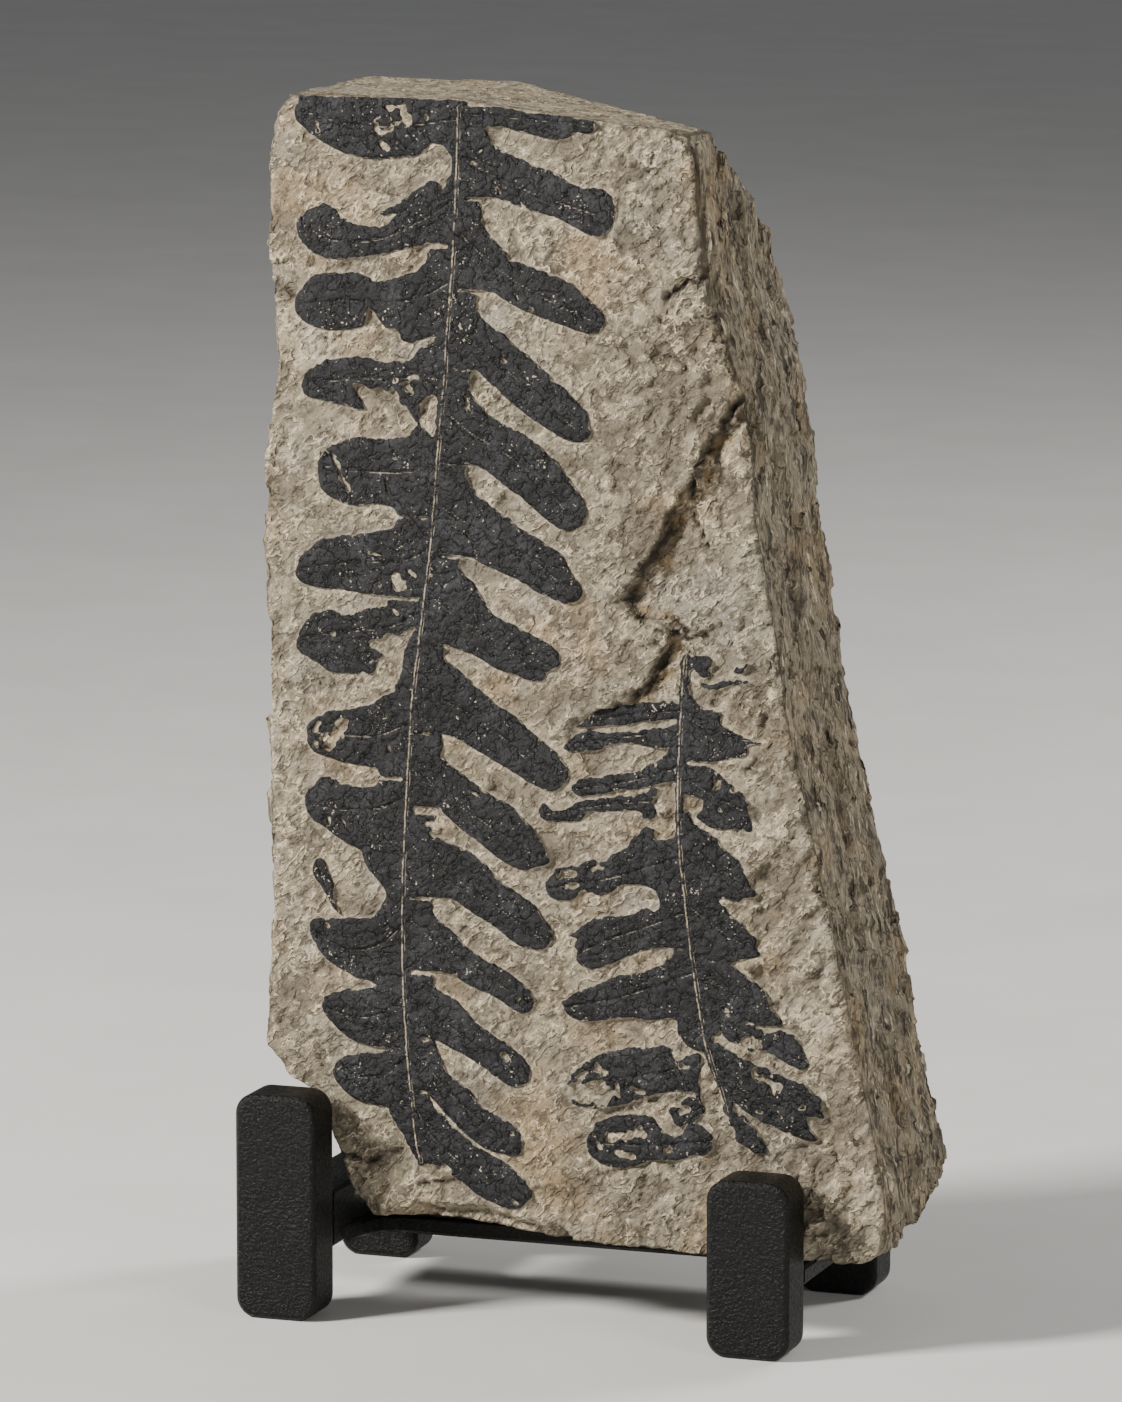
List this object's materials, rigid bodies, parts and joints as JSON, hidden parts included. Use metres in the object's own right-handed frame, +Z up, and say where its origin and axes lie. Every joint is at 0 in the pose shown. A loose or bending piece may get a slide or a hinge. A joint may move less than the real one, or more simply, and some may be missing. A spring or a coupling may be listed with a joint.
{
  "type": "fossil fern plate",
  "caption": "Leaning slab of pale shale with dark carbonised fern fronds on its front, resting in a low black metal stand.",
  "frame": {"origin": "middle of the footprint of the whole object, on the surface it stands on", "axes": "+X to the right of the fossil's front, -Y towards the viewer, +Z up"},
  "size_m": [0.159, 0.0814, 0.2869],
  "materials": {
    "shale": "rough split stone",
    "leaf_film": "carbonised film, faint sheen",
    "stand_metal": "black wrinkle powder coat"
  },
  "bodies": {
    "root": {"slab": "shale", "large_frond": "leaf_film", "small_frond": "leaf_film", "loose_pinnule": "leaf_film", "leaf_scrap_low": "leaf_film", "leaf_scrap_left": "leaf_film", "front_post_left": "stand_metal", "front_post_right": "stand_metal", "rear_post_left": "stand_metal", "rear_post_right": "stand_metal", "side_arm_left": "stand_metal", "side_arm_right": "stand_metal", "cross_bar_front": "stand_metal", "cross_bar_rear": "stand_metal"}
  },
  "joints": []
}
